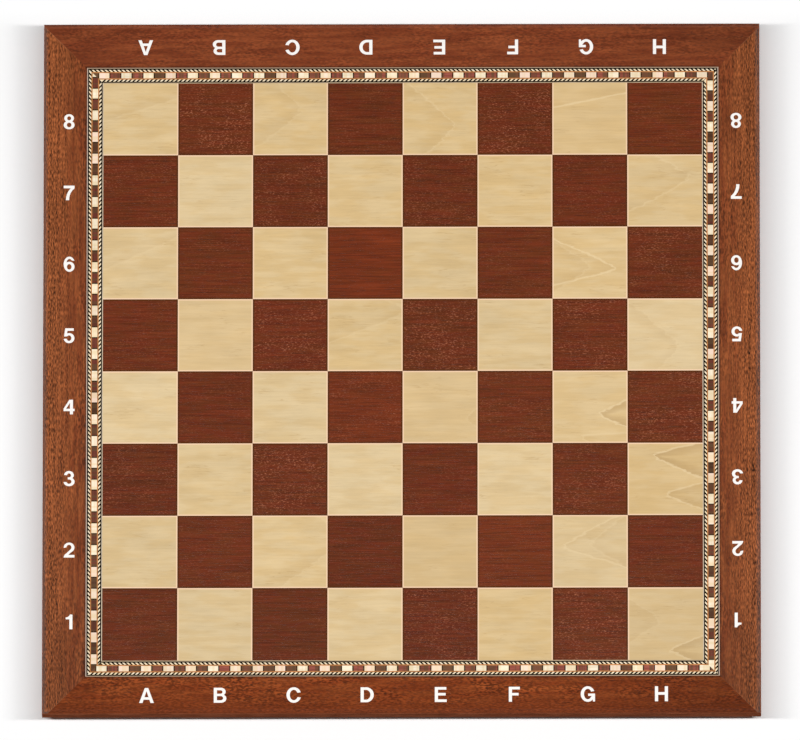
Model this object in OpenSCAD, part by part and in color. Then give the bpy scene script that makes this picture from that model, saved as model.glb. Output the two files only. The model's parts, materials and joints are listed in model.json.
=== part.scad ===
// Inlaid wooden chessboard. A lipped core panel carries veneer squares, an inlaid banding and a
// mitred frame on its face, two plain leaves on its back, and four felt pads.
// The origin is under the middle of the board, on the surface that the pads stand on.
// +Y points to the far side, rank 8, and +X to file H.

/* [Playing field] */
// Side of one square
square_w = 50; // [40:0.5:60]
// Middle of the field from the middle of the board, to the right and to the far side
field_at = [0.7, -2.4]; // [-3:0.1:3]

/* [Frame] */
// Width of the frame veneer outside the banding
frame_w = 28.2; // [20:0.1:40]
// Radius of the board's top edge
top_round = 2; // [0.5:0.1:3]
// Radius of the board's bottom edge
bottom_round = 5; // [0.5:0.1:6]

/* [Layers] */
// Thickness of the veneers on both faces
veneer_t = 0.6; // [0.4:0.1:1.2]
// Thickness of the core panel
core_t = 12; // [8:0.5:18]
// Width of the solid lipping around the core panel
lipping_w = 8; // [4:0.5:15]

/* [Banding] */
// Width of each white line, along the banding's two edges
white_line_w = 0.6; // [0.4:0.05:1.5]
// Width of each black line, inside the white ones
black_line_w = 0.8; // [0.3:0.05:1]
// Width of each rope of slanted pieces
rope_w = 1.45; // [1:0.05:3]
// Distance from one black rope piece to the next
rope_pitch = 2.85; // [2:0.05:5]
// Length of a black rope piece along the rope
rope_black_l = 1.5; // [0.8:0.05:1.9]
// How far a rope piece leans along the rope
rope_lean = 1.6; // [0:0.1:4]
// Width of each orange line, on both sides of the blocks
orange_line_w = 0.8; // [0.4:0.1:1.5]
// Width of the row of blocks
block_w = 3.7; // [2:0.1:6]
// Length of a light block
light_l = 6.7; // [4:0.1:8]
// Length of a dark spacer between two blocks
spacer_l = 0.8; // [0.4:0.1:1.2]
// Whole light blocks on the front, right, back and left, with brown ones between them
light_count = [28, 29, 28, 27]; // [20:1:34]
// From the mitre to the middle of the first of them, on the front, right, back and left
first_light = [7, 3.8, 7.3, 14.3]; // [0:0.1:16]
// From the middle of the last of them to the mitre, on the front, right, back and left
last_light = [6.3, 9.3, 7.8, 8.4]; // [0:0.1:16]

/* [Felt pads] */
// Diameter of a pad
pad_d = 20; // [10:1:35]
// Thickness of a pad
pad_t = 2; // [1:0.5:5]
// Distance from a pad's edge to the board's sides
pad_inset = 12; // [5:1:60]

/* [Hidden] */
$fn = 64;
// squares along a side, fixed by the game
SQUARES = 8;
// the sides in turn, each a quarter turn on from the one before
SIDES = ["front", "right", "back", "left"];
// the way in which the ropes point along each side
ROPE_WAY = [1, -1, -1, 1];
// an end piece shorter than this is left out, and its neighbour runs on to the mitre
least_piece = 0.9;
// how far a cutting shape runs past what it cuts
over = 5;

field_w = SQUARES * square_w;
// distances from the field to the two edges of each strip, counted outwards
white_in = [0, white_line_w];
black_in = [white_in[1], white_in[1] + black_line_w];
rope_in = [black_in[1], black_in[1] + rope_w];
orange_in = [rope_in[1], rope_in[1] + orange_line_w];
block_row = [orange_in[1], orange_in[1] + block_w];
orange_out = [block_row[1], block_row[1] + orange_line_w];
rope_out = [orange_out[1], orange_out[1] + rope_w];
black_out = [rope_out[1], rope_out[1] + black_line_w];
white_out = [black_out[1], black_out[1] + white_line_w];
frame = [white_out[1], white_out[1] + frame_w];
// the frame's veneers are laid too wide, and the board's form trims them
frame_laid = [frame[0], frame[1] + norm(field_at) + over];
lipping = [frame[1] - lipping_w, frame[1]];
board_w = field_w + 2 * frame[1];
core_w = field_w + 2 * lipping[0];

// heights of the layers
back_z = pad_t;
core_z = back_z + veneer_t;
face_z = core_z + core_t;
top_z = face_z + veneer_t;

mahogany = "#7a3c24";
dark_mahogany = "#6d3520";
sycamore = "#dcc294";
fibreboard = "#a98a62";
black_dyed = "#231a14";
holly = "#d9ccb8";
orange_wood = "#b9773f";
maple = "#f0dab4";
walnut = "#74452f";
felt = "#2d3a30";

// half the length of a line round the field, at distance d outside it
function half_at(d) = field_w / 2 + d;

// the middle of the first whole light block of a side, from the middle of the side
function light_start(side) = first_light[side] - half_at(block_row[1]);

// the distance from one light block of a side to the next
function pair_pitch(side) =
    (half_at(block_row[1]) - last_light[side] - light_start(side)) / (light_count[side] - 1);

// a cut across a strip whose mitre is at the distance half: one that falls too near it moves past it
function clear_of_mitre(s, half, past) =
    s > half - least_piece ? half + past :
    s < least_piece - half ? -half - past : s;

// turns what is drawn along the front to its own side
module on_side(side) {
    rotate([0, 0, 90 * side]) children();
}

// puts what is drawn round the field's middle where the field lies on the board
module on_board() {
    translate([field_at[0], field_at[1], 0]) children();
}

// the plan of a strip along the front, with its mitred ends
module strip_plan(strip) {
    polygon([
        [-half_at(strip[0]), -half_at(strip[0])],
        [half_at(strip[0]), -half_at(strip[0])],
        [half_at(strip[1]), -half_at(strip[1])],
        [-half_at(strip[1]), -half_at(strip[1])]
    ]);
}

// a veneer of the face
module face_veneer() {
    translate([0, 0, face_z]) linear_extrude(veneer_t) children();
}

// what rounds off a square corner that is at the origin, with the material to its lower left
module corner_waste(r) {
    difference() {
        translate([-r, -r]) square(r + over);
        translate([-r, -r]) circle(r);
    }
}

// the board's section, with its edges rounded
module board_section() {
    difference() {
        translate([-board_w / 2, back_z]) square([board_w, top_z - back_z]);
        for (way = [0, 1]) mirror([way, 0]) {
            translate([board_w / 2, top_z]) corner_waste(top_round);
            translate([board_w / 2, back_z]) mirror([0, 1]) corner_waste(bottom_round);
        }
    }
}

// the form of the whole board, which trims each piece at its edge
module board_form() {
    intersection() {
        rotate([90, 0, 0]) linear_extrude(board_w, center = true) board_section();
        rotate([90, 0, 90]) linear_extrude(board_w, center = true) board_section();
    }
}

// one piece of a strip: it lies from s0 to s1 on one edge of the strip, and from there it leans
// along the strip by lean on its way to the other edge
module strip_piece(s0, s1, edges, lean) {
    half = half_at(max(edges));
    past = abs(lean) + over;
    a = clear_of_mitre(s0, half, past);
    b = clear_of_mitre(s1, half, past);
    outline = [
        [a, -half_at(edges[0])],
        [b, -half_at(edges[0])],
        [b + lean, -half_at(edges[1])],
        [a + lean, -half_at(edges[1])]
    ];
    meets_mitre = max(abs(a), abs(b)) + abs(lean) > half_at(min(edges));
    if (b > a) face_veneer()
        if (meets_mitre) intersection() {
            polygon(outline);
            strip_plan(edges);
        }
        else polygon(outline);
}

// pieces of one length at an even pitch along a strip, with one of them starting at first
module row_of_pieces(first, length, pitch, edges, lean = 0) {
    turns = ceil((half_at(max(edges)) + abs(first) + abs(lean)) / pitch);
    for (turn = [-turns : turns])
        strip_piece(first + turn * pitch, first + turn * pitch + length, edges, lean);
}

// both ropes of a side, which lean away from their black lines in the same way
module ropes(side, first, length) {
    lean = ROPE_WAY[side] * rope_lean;
    row_of_pieces(first, length, rope_pitch, [rope_in[0], rope_in[1]], lean);
    row_of_pieces(first, length, rope_pitch, [rope_out[1], rope_out[0]], lean);
}

// a kind of block along a side, counted from the middle of a light block
module blocks(side, first, length) {
    row_of_pieces(light_start(side) + first, length, pair_pitch(side), block_row);
}

module core_panel() {
    color(fibreboard) translate([-core_w / 2, -core_w / 2, core_z]) cube([core_w, core_w, core_t]);
}

module lipping(side) {
    color(dark_mahogany) intersection() {
        on_side(side) translate([0, 0, core_z]) linear_extrude(core_t) strip_plan(lipping);
        board_form();
    }
}

// one of the two leaves on the back, which meet along the middle
module back_veneer(way) {
    color(dark_mahogany) intersection() {
        translate([min(0, way * board_w / 2), -board_w / 2, back_z]) cube([board_w / 2, board_w, veneer_t]);
        board_form();
    }
}

module frame_veneer(side) {
    color(mahogany) intersection() {
        on_board() on_side(side) face_veneer() strip_plan(frame_laid);
        board_form();
    }
}

// the two lines of a colour on one side of the field
module lines(side, strips) {
    on_board() on_side(side) for (strip = strips) face_veneer() strip_plan(strip);
}

module white_lines(side) {
    color(holly) lines(side, [white_in, white_out]);
}

module black_lines(side) {
    color(black_dyed) lines(side, [black_in, black_out]);
}

module orange_lines(side) {
    color(orange_wood) lines(side, [orange_in, orange_out]);
}

module rope_black(side) {
    color(black_dyed) on_board() on_side(side) ropes(side, 0, rope_black_l);
}

module rope_cream(side) {
    color(maple) on_board() on_side(side) ropes(side, rope_black_l, rope_pitch - rope_black_l);
}

module blocks_light(side) {
    color(maple) on_board() on_side(side) blocks(side, -light_l / 2, light_l);
}

module blocks_brown(side) {
    brown_l = pair_pitch(side) - light_l - 2 * spacer_l;
    color(walnut) on_board() on_side(side) blocks(side, light_l / 2 + spacer_l, brown_l);
}

module block_spacers(side) {
    color(black_dyed) on_board() on_side(side) {
        blocks(side, light_l / 2, spacer_l);
        blocks(side, -light_l / 2 - spacer_l, spacer_l);
    }
}

// the squares of one rank whose file and rank add up to an even or an odd number
module squares(rank, remainder) {
    for (file = [1 : SQUARES])
        if ((file + rank) % 2 == remainder)
            translate([(file - 1) * square_w - field_w / 2, (rank - 1) * square_w - field_w / 2, 0])
                face_veneer() square(square_w);
}

module dark_squares(rank) {
    color(dark_mahogany) on_board() squares(rank, 0);
}

module light_squares(rank) {
    color(sycamore) on_board() squares(rank, 1);
}

module felt_pads() {
    at = board_w / 2 - pad_inset - pad_d / 2;
    color(felt) for (x = [-at, at], y = [-at, at])
        translate([x, y, 0]) cylinder(h = pad_t, d = pad_d);
}

core_panel();
back_veneer(-1);  // back_veneer_left
back_veneer(1);  // back_veneer_right
felt_pads();
for (side = [0 : 3]) {
    lipping(side);
    frame_veneer(side);
    white_lines(side);
    black_lines(side);
    orange_lines(side);
    rope_black(side);
    rope_cream(side);
    blocks_light(side);
    blocks_brown(side);
    block_spacers(side);
}
for (rank = [1 : SQUARES]) {
    dark_squares(rank);
    light_squares(rank);
}
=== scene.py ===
"""Looks of an inlaid wooden chessboard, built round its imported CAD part.

The veneers, lines, ropes and blocks keep their CAD solids and get wood finishes that read places on
the board in millimetres. The letters, the numbers and the felt pads are made here.
"""

import json
import logging
import math
from dataclasses import astuple, dataclass
from enum import Enum
from typing import Any, Iterable, Optional, Sequence, Union

import bmesh
import bpy
from mathutils import Matrix, Vector
from mathutils.geometry import tessellate_polygon

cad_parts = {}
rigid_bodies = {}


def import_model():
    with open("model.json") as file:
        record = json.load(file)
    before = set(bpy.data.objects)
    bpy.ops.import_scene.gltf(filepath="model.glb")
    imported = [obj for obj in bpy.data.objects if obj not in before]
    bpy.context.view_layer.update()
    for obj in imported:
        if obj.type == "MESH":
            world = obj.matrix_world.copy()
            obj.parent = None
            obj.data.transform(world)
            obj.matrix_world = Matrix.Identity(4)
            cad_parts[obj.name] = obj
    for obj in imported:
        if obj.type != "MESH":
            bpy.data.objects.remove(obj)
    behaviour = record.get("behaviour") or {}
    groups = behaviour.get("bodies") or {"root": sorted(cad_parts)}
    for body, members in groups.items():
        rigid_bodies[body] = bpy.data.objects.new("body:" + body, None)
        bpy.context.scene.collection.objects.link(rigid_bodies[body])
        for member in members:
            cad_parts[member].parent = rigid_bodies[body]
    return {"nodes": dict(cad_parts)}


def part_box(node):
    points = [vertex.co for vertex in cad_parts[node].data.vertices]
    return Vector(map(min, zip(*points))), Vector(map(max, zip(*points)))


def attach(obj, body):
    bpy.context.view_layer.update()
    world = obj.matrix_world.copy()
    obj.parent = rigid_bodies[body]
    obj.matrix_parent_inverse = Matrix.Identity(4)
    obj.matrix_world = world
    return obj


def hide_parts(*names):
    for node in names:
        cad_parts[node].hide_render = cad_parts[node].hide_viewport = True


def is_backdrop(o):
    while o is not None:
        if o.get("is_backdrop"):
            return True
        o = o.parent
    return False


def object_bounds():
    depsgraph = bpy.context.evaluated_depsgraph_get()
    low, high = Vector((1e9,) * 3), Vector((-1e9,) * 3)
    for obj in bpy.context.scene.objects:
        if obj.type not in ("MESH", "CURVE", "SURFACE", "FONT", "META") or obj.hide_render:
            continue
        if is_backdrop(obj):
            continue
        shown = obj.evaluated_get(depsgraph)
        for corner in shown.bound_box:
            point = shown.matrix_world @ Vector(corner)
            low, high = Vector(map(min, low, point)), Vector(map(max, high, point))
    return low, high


logging.basicConfig(level=logging.INFO, format="%(name)s: %(message)s")
LOG = logging.getLogger("chessboard")

MM = 0.001
FILES = "ABCDEFGH"
RANKS = "12345678"
# the middle of the field from the middle of the board, in millimetres
FIELD_AT = (0.7, -2.4)
# the degrees of a glyph's arc between two of its points
ARC_STEP = 11

Colour = tuple[float, float, float, float]


def screen(red: float, green: float, blue: float) -> Colour:
    """The scene's colour for one that is given as it looks on a screen.

    Args:
        red: Red, 0 to 255.
        green: Green, 0 to 255.
        blue: Blue, 0 to 255.

    Returns:
        The same colour in linear light, with full cover.
    """
    parts = [channel / 255 for channel in (red, green, blue)]
    linear = [c / 12.92 if c <= 0.04045 else ((c + 0.055) / 1.055) ** 2.4 for c in parts]
    return (linear[0], linear[1], linear[2], 1.0)


class Side(Enum):
    """A side of the board, by the quarter turns that it is on from the front."""

    FRONT = 0
    RIGHT = 1
    BACK = 2
    LEFT = 3

    @property
    def word(self) -> str:
        """The side's name as the CAD nodes have it."""
        return self.name.lower()

    @property
    def runs_across(self) -> bool:
        """Whether the side runs from left to right."""
        return self in (Side.FRONT, Side.BACK)


class Tone(Enum):
    """The two colours of squares."""

    DARK = 0
    LIGHT = 1


class Grain(Enum):
    """The way in which a wood's grain runs."""

    ACROSS = "along X"
    UP = "along Y"


class Socket:
    """An output of a node tree that Python's operators work on."""

    def __init__(self, tree: "NodeTree", out: bpy.types.NodeSocket) -> None:
        """Wraps an output.

        Args:
            tree: The tree that the output is in.
            out: The node's output socket.
        """
        self.tree = tree
        self.out = out

    def _math(self, operation: str, *values: "Value") -> "Socket":
        """One Math node on values in their order."""
        return self.tree.add("ShaderNodeMath", {"operation": operation}, dict(enumerate(values)))

    def __add__(self, other: "Value") -> "Socket":
        """This and another, added."""
        return self._math("ADD", self, other)

    def __radd__(self, other: "Value") -> "Socket":
        """Another and this, added."""
        return self._math("ADD", other, self)

    def __sub__(self, other: "Value") -> "Socket":
        """This less another."""
        return self._math("SUBTRACT", self, other)

    def __rsub__(self, other: "Value") -> "Socket":
        """Another less this."""
        return self._math("SUBTRACT", other, self)

    def __mul__(self, other: "Value") -> "Socket":
        """This times another."""
        return self._math("MULTIPLY", self, other)

    def __rmul__(self, other: "Value") -> "Socket":
        """Another times this."""
        return self._math("MULTIPLY", other, self)

    def __truediv__(self, other: "Value") -> "Socket":
        """This over another."""
        return self._math("DIVIDE", self, other)

    def __pow__(self, other: "Value") -> "Socket":
        """This to the power of another."""
        return self._math("POWER", self, other)

    def __abs__(self) -> "Socket":
        """This without its sign."""
        return self._math("ABSOLUTE", self)

    def floor(self) -> "Socket":
        """The whole number at or below this."""
        return self._math("FLOOR", self)

    def fract(self) -> "Socket":
        """What is left of this above its floor."""
        return self._math("FRACT", self)

    def least(self, other: "Value") -> "Socket":
        """The smaller of this and another."""
        return self._math("MINIMUM", self, other)

    def most(self, other: "Value") -> "Socket":
        """The larger of this and another."""
        return self._math("MAXIMUM", self, other)

    def near(self, value: float, reach: float = 0.5) -> "Socket":
        """1 where this is within reach of a value, and 0 elsewhere."""
        return self._math("COMPARE", self, value, reach)

    def step(self, low: float, high: float) -> "Socket":
        """A smooth step of this, from 0 up to the low value to 1 from the high one."""
        ends = {"Value": self, "From Min": low, "From Max": high, "To Min": 0.0, "To Max": 1.0}
        return self.tree.add("ShaderNodeMapRange", {"interpolation_type": "SMOOTHSTEP"}, ends)

    def mix(self, other: Any, share: "Value") -> "Socket":
        """This colour, with a share of another in it."""
        return self.tree.mix(self, other, share)

    def shade(self, light: "Value") -> "Socket":
        """This colour, its light times a value that is 1 for no change."""
        return self.tree.shade(self, light)

    def darken(self, share: "Socket") -> "Socket":
        """This colour, with a share of its light taken off."""
        return self.shade(1.0 - share)

    def beside(self, output: str) -> "Socket":
        """Another output of the same node."""
        return Socket(self.tree, self.out.node.outputs[output])


Value = Union[Socket, float]


class NodeTree:
    """A node tree while it is being built."""

    def __init__(self, group: bpy.types.NodeTree) -> None:
        """Starts a tree without nodes.

        Args:
            group: The tree to fill.
        """
        self.group = group
        group.nodes.clear()

    def add(self, kind: str, settings: Optional[dict[str, Any]] = None, inputs: Optional[dict[Any, Any]] = None,
            output: Union[str, int] = 0) -> Socket:
        """Adds one node.

        Args:
            kind: The node's type.
            settings: Its own settings, which are set first.
            inputs: For each input by its name or number its value, the Socket that is linked, or a list of those.
            output: The output that is wanted.

        Returns:
            That output.
        """
        node = self.group.nodes.new(kind)
        for key, value in (settings or {}).items():
            setattr(node, key, value)
        for key, value in (inputs or {}).items():
            for source in value if isinstance(value, list) else [value]:
                if isinstance(source, Socket):
                    self.group.links.new(source.out, node.inputs[key])
                else:
                    node.inputs[key].default_value = source
        return Socket(self, node.outputs[output] if len(node.outputs) else None)


class Shader(NodeTree):
    """A material's node tree while it is being built."""

    def __init__(self, name: str) -> None:
        """Starts a material.

        Args:
            name: The material's name.
        """
        self.material = bpy.data.materials.new(name)
        self.material.use_nodes = True
        super().__init__(self.material.node_tree)

    def place(self, centre: tuple[float, float] = (0.0, 0.0)) -> tuple[Socket, Socket, Socket]:
        """The point that is shaded.

        Args:
            centre: The place on the board that x and y are counted from, in millimetres.

        Returns:
            Its x, y and z, in millimetres.
        """
        point = self.add("ShaderNodeTexCoord", output="Object")
        ways = {0: point, 1: (1 / MM, 1 / MM, 1 / MM), 2: (-centre[0], -centre[1], 0.0)}
        scaled = self.add("ShaderNodeVectorMath", {"operation": "MULTIPLY_ADD"}, ways)
        x, y, z = (self.add("ShaderNodeSeparateXYZ", {}, {0: scaled}, axis) for axis in "XYZ")
        return x, y, z

    def vector(self, x: Value, y: Value, z: Value = 0.0) -> Socket:
        """Three values as one vector."""
        return self.add("ShaderNodeCombineXYZ", {}, {"X": x, "Y": y, "Z": z})

    def noise(self, along: Socket, across: Socket, spot: tuple[float, float], seed: Value, detail: float = 2.0,
              rough: float = 0.5) -> Socket:
        """Noise that is stretched along a grain.

        Args:
            along: The place along the grain, in millimetres.
            across: The place across it, in millimetres.
            spot: How long and how wide a spot is, in millimetres.
            seed: What sets this noise apart from others.
            detail: How many finer noises are on top.
            rough: How strong each finer noise is.

        Returns:
            The noise, from 0 to 1 with a mean of 0.5.
        """
        point = self.vector(along * (1 / spot[0]), across * (1 / spot[1]), seed)
        inputs = {"Vector": point, "Scale": 1.0, "Detail": detail, "Roughness": rough}
        return self.add("ShaderNodeTexNoise", {"noise_dimensions": "3D"}, inputs)

    def chance(self, x: Value, y: Value, seed: float) -> Socket:
        """An even chance from 0 to 1 for each pair of numbers."""
        point = self.vector(x, y, seed)
        return self.add("ShaderNodeTexWhiteNoise", {"noise_dimensions": "3D"}, {"Vector": point}, "Value")

    def mix(self, low: Any, high: Any, share: Value, way: str = "MIX") -> Socket:
        """Two colours mixed, with a share of the second, by a Mix node's blend type."""
        settings = {"data_type": "RGBA", "blend_type": way, "clamp_factor": True}
        return self.add("ShaderNodeMix", settings, {0: share, 6: low, 7: high}, 2)

    def shade(self, colour: Any, light: Value) -> Socket:
        """A colour made lighter or darker, its light times a value that is 1 for no change."""
        grey = self.vector(light, light, light) if isinstance(light, Socket) else (light, light, light, 1.0)
        return self.mix(colour, grey, 1.0, "MULTIPLY")

    def finish(self, colour: Any, rough: Value, height: Socket, depth: float, sheen: float = 0.0,
               specular: float = 0.5) -> bpy.types.Material:
        """Ends the tree with its surface.

        Args:
            colour: The surface's colour.
            rough: Its roughness.
            height: How high each place is, from 0 to 1.
            depth: How deep that relief is, in millimetres.
            sheen: How much sheen its fibres have.
            specular: How strongly it reflects, 0.5 for bare lacquer.

        Returns:
            The finished material.
        """
        bump = self.add("ShaderNodeBump", {}, {"Height": height, "Distance": depth * MM, "Strength": 1.0})
        inputs = {"Base Color": colour, "Roughness": rough, "Specular IOR Level": specular, "Sheen Weight": sheen,
                  "Normal": bump}
        surface = self.add("ShaderNodeBsdfPrincipled", {}, inputs)
        self.add("ShaderNodeOutputMaterial", {}, {"Surface": surface})
        return self.material


@dataclass(frozen=True)
class Where:
    """The shaded point on a wood. Lengths are in millimetres."""

    tree: Shader
    seed: float
    x: Socket
    y: Socket
    z: Socket
    along: Socket
    across: Socket

    def reach(self) -> Socket:
        """How far out the point is, across or up, whichever is more."""
        return abs(self.x).most(abs(self.y))

    def noise(self, spot: tuple[float, float], seed: float, detail: float = 2.0, rough: float = 0.5) -> Socket:
        """The tree's noise along the wood's grain, with a seed that is added to the wood's own."""
        return self.tree.noise(self.along, self.across, spot, self.seed + seed, detail, rough)


@dataclass(frozen=True)
class Wood:
    """A lacquered wood. Lengths are in millimetres, and shares are of its light."""

    name: str
    low: Colour
    high: Colour
    grain: Grain = Grain.ACROSS
    streak: tuple[float, float] = (45.0, 1.6)
    streak_share: float = 0.15
    cloud: tuple[float, float] = (26.0, 7.0)
    cloud_share: float = 0.15
    fleck: tuple[float, float] = (4.0, 1.3)
    fleck_share: float = 0.0
    patch: tuple[float, float] = (30.0, 14.0)
    pore: tuple[float, float] = (4.0, 1.0)
    pore_share: float = 0.0
    pore_rough: float = 0.08
    pore_depth: float = 0.02
    lean: float = 0.9
    rough: float = 0.28
    specular: float = 0.3
    seed: float = 0.0
    centre: tuple[float, float] = FIELD_AT

    def where(self, tree: Shader) -> Where:
        """The shaded point in this wood's own directions.

        Args:
            tree: The material's tree.

        Returns:
            The point, with its place along and across the grain.
        """
        x, y, z = tree.place(self.centre)
        along, across = (x, y) if self.grain is Grain.ACROSS else (y, x)
        return Where(tree, self.seed, x, y, z, along, across + z * self.lean)

    def hue(self, at: Where) -> Socket:
        """How far the hue has wandered from the low colour to the high one, from 0 to 1."""
        return at.noise((self.cloud[0] * 0.7, self.cloud[1] * 0.5), 7.3).step(0.36, 0.64)

    def colour(self, at: Where) -> Socket:
        """The wood's colour before flecks and pores."""
        return at.tree.mix(self.low, self.high, self.hue(at))

    def light(self, at: Where) -> Socket:
        """How light each place is from the wood's streaks and clouds.

        Args:
            at: The shaded point.

        Returns:
            The light, 1 on average.
        """
        streak = at.noise(self.streak, 1.7, 3.0, 0.6) - 0.5
        cloud = at.noise(self.cloud, 3.1) - 0.5
        return 1.0 + streak * (2 * self.streak_share) + cloud * (2 * self.cloud_share)

    def pores(self, at: Where) -> Socket:
        """Where the open pores are, as short dark dashes."""
        return at.noise(self.pore, 11.9, 1.0).step(0.54, 0.70)

    def flecks(self, at: Where) -> Socket:
        """Where the wood's rays shine, as short dashes that come in patches.

        Args:
            at: The shaded point.

        Returns:
            How much lighter each place is than the rest, from about -1 to 1.
        """
        fleck = at.noise(self.fleck, 5.3, 1.0).step(0.36, 0.66)
        patch = at.noise(self.patch, 9.1, 1.0).step(0.38, 0.64)
        return (fleck * 2.0 - 0.9) * (0.45 + patch * 0.75)

    def detail(self, at: Where, colour: Socket) -> Socket:
        """What this piece of wood has besides its grain; none here."""
        return colour

    def dullness(self, at: Where) -> Value:
        """How much rougher than its lacquer this piece of wood is; no rougher here."""
        return 0.0

    def material(self) -> bpy.types.Material:
        """Builds the finish.

        Returns:
            The finished material.
        """
        at = self.where(Shader(self.name))
        pores = self.pores(at)
        light = self.light(at) - pores * self.pore_share
        if self.fleck_share:
            light = light + self.flecks(at) * self.fleck_share
        colour = self.detail(at, self.colour(at).shade(light))
        rough = self.rough + pores * self.pore_rough + self.dullness(at)
        return at.tree.finish(colour, rough, 1.0 - pores, self.pore_depth, specular=self.specular)


@dataclass(frozen=True)
class OnSquare(Where):
    """The shaded point on a square of the field, whose file and rank are counted from 0."""

    file: Socket
    rank: Socket

    def chance(self, seed: float) -> Socket:
        """An even chance from 0 to 1 for each square."""
        return self.tree.chance(self.file, self.rank, self.seed + seed)

    def on(self, file: int, rank: int) -> Socket:
        """1 on one square, and 0 elsewhere."""
        return self.file.near(file) * self.rank.near(rank)


@dataclass(frozen=True)
class SquareVeneer(Wood):
    """Veneer of the field, where each square is a piece of its own."""

    square: float = 50.0
    half_field: float = 200.0
    log: tuple[float, float] = (900.0, 700.0)
    hue_share: float = 0.3
    tone_share: float = 0.06
    glue: Colour = screen(84, 42, 8)
    glue_share: float = 0.9
    glue_width: float = 1.4
    # painted shade: how much darker the squares are made towards the front
    front_shade: float = 0.045

    def count(self, place: Socket) -> Socket:
        """How many squares a place is from the field's left or front edge."""
        return (place + self.half_field) * (1 / self.square)

    def where(self, tree: Shader) -> OnSquare:
        """The shaded point, in a part of the log that is the square's own.

        Args:
            tree: The material's tree.

        Returns:
            The point, with its place along and across the grain.
        """
        x, y, z = tree.place(self.centre)
        file, rank = self.count(x).floor(), self.count(y).floor()
        along = x + tree.chance(file, rank, self.seed + 0.3) * self.log[0]
        across = y + tree.chance(file, rank, self.seed + 0.6) * self.log[1]
        return OnSquare(tree, self.seed, x, y, z, along, across, file, rank)

    def colour(self, at: OnSquare) -> Socket:
        """The square's own hue, which wanders a little over it."""
        share = at.chance(1.1) * self.hue_share + self.hue(at) * (1.0 - self.hue_share)
        return at.tree.mix(self.low, self.high, share)

    def edge(self, at: OnSquare) -> Socket:
        """How near each place is to the next square.

        Args:
            at: The shaded point.

        Returns:
            1 at the edge that two squares share, and 0 away from it and at the field's outer edge.
        """
        sides = []
        for place in (at.x, at.y):
            part = self.count(place).fract() * self.square
            outermost = abs(place).step(self.half_field - 1.6, self.half_field - 1.5)
            sides.append(part.least(self.square - part) + outermost * 5.0)
        return 1.0 - sides[0].least(sides[1]).step(self.glue_width - 0.6, self.glue_width)

    def detail(self, at: OnSquare, colour: Socket) -> Socket:
        """The square's own tone, painted shade towards the front, and its edge where it was cut and glued.

        Args:
            at: The shaded point.
            colour: Its colour so far.

        Returns:
            Its colour.
        """
        tone = 1.0 + (at.chance(2.2) - 0.5) * (2 * self.tone_share)
        # painted shade towards the front of the field
        tone = tone - (1.0 - at.y.step(-200.0, -50.0)) * self.front_shade
        return colour.shade(tone).mix(self.glue, self.edge(at) * self.glue_share)


@dataclass(frozen=True)
class DarkSquare(SquareVeneer):
    """The dark squares' red-brown veneer, whose pores shine as fine light dashes.

    The red squares are the few that look redder than the rest, each with its file, its rank and a share.
    """

    red: Colour = screen(126, 52, 24)
    red_squares: tuple[tuple[int, int, float], ...] = ((3, 5, 1.0), (3, 3, 0.85), (5, 1, 0.45))
    shine: Colour = screen(204, 126, 92)
    shine_share: float = 0.56

    def redder(self, at: OnSquare) -> Socket:
        """How much redder the square is than most, from 0 to 1."""
        return sum(at.on(file, rank) * share for file, rank, share in self.red_squares)

    def colour(self, at: OnSquare) -> Socket:
        """The square's own hue, which is redder on a few of them."""
        share = self.redder(at) * (0.35 + at.noise((30.0, 12.0), 21.0).step(0.35, 0.65) * 0.4)
        return super().colour(at).mix(self.red, share)

    def flecks(self, at: OnSquare) -> Socket:
        """Where the pores shine, which is in patches, and on some squares more than on others.

        Args:
            at: The shaded point.

        Returns:
            How much each place shines, from 0 to about 1.
        """
        fleck = at.noise(self.fleck, 5.3, 1.0).step(0.54, 0.76)
        patch = at.noise(self.patch, 9.1, 1.0).step(0.4, 0.62)
        square = (0.3 + at.chance(2.9).step(0.2, 0.9) * 0.7) * (1.0 - self.redder(at) * 0.6)
        return fleck * (0.4 + patch * 0.7) * square

    def detail(self, at: OnSquare, colour: Socket) -> Socket:
        """The shining pores, and painted shade that makes the squares darker towards the left."""
        colour = colour.mix(self.shine, self.flecks(at) * self.shine_share)
        # painted shade: the squares are made darker towards the left
        return super().detail(at, colour.shade(0.975 + at.file * 0.005))


@dataclass(frozen=True)
class Ring:
    """A growth ring that shows on a light square as a pale line with a bend. Lengths are in millimetres.

    x and y are the bend's place from the square's left and front edges. The arms are how far the line runs
    to the left of its bend for each millimetre across the grain, or to the right where they are below 0.
    The shade is how dark the wood is inside the bend.
    """

    file: int
    rank: int
    x: float
    y: float
    arms: float
    tilt: float = 0.0
    share: float = 0.5
    shade: float = 0.25


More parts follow.
